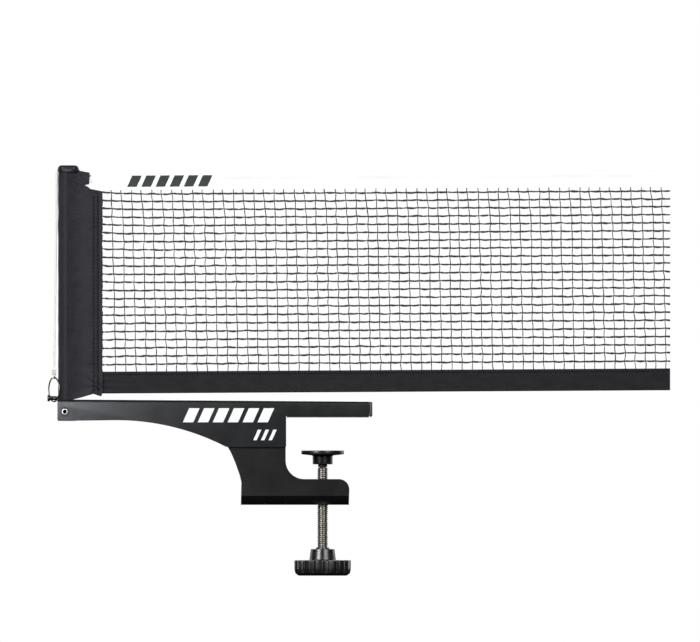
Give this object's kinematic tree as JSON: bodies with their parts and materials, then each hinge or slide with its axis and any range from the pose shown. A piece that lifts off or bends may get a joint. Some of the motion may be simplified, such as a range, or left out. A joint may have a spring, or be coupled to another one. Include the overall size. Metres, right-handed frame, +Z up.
{
  "type": "table tennis net clamp",
  "caption": "Screw clamp for a table tennis net: sheet-steel arm and lower jaw, clamp screw with pad and lobed knob, post with tension cord, and the end of the net.",
  "frame": {"origin": "the clamp screw's axis where it meets the plane of the table's top, on the underside of the jaw's liner", "axes": "+Z up along the clamp screw, +X along the net towards the table's middle, -Y towards the front of the net"},
  "size_m": [0.3892, 0.0348, 0.2566],
  "materials": {
    "powder_coat": "charcoal satin powder coat",
    "black_plastic": "semi-gloss moulded",
    "rubber": "matt",
    "zinc_plate": "bright zinc plate",
    "dark_wire": "dark nickel",
    "dark_cloth": "navy-black plain weave",
    "white_tape": "white woven tape",
    "net_thread": "dark green-grey knitted thread",
    "white_cord": "white braided cord"
  },
  "bodies": {
    "clamp_frame": {"arm_channel": "powder_coat", "lower_bracket": "powder_coat", "jaw_liner": "rubber", "jaw_end_cap": "black_plastic", "screw_nut": "zinc_plate", "post_socket": "black_plastic"},
    "pad": {"pressure_pad": "black_plastic", "pad_bush": "black_plastic"},
    "screw": {"clamp_spindle": "zinc_plate", "knob": "black_plastic", "knob_cap": "black_plastic"},
    "set_screw": {"post_set_screw": "zinc_plate"},
    "post": {"post_tube": "powder_coat", "post_cap": "black_plastic", "cord_stud": "black_plastic", "cord_ring": "dark_wire", "tension_cord": "white_cord", "side_sleeve": "dark_cloth", "top_tape": "white_tape", "net_mesh": "net_thread", "bottom_hem": "dark_cloth"}
  },
  "joints": [
    {"name": "pad_travel", "type": "slide", "parent": "clamp_frame", "child": "pad", "axis": [0, 0, 1], "range_m": [-0.0145, 0.0203]},
    {"name": "screw_turn", "type": "hinge", "parent": "pad", "child": "screw", "pos_m": [0, 0, -0.0309], "axis": [0, 0, 1], "range_deg": [-4100, 5750]},
    {"name": "post_height", "type": "slide", "parent": "clamp_frame", "child": "post", "axis": [0, 0, 1], "range_m": [0, 0.01]},
    {"name": "set_screw_turn", "type": "hinge", "parent": "clamp_frame", "child": "set_screw", "pos_m": [-0.1612, -0.0129, 0.0037], "axis": [0, -1, 0], "range_deg": [0, 720]}
  ],
  "couplings": [
    {"joint": "pad_travel", "follows": "screw_turn", "m_per_rad": 0.00020213}
  ]
}
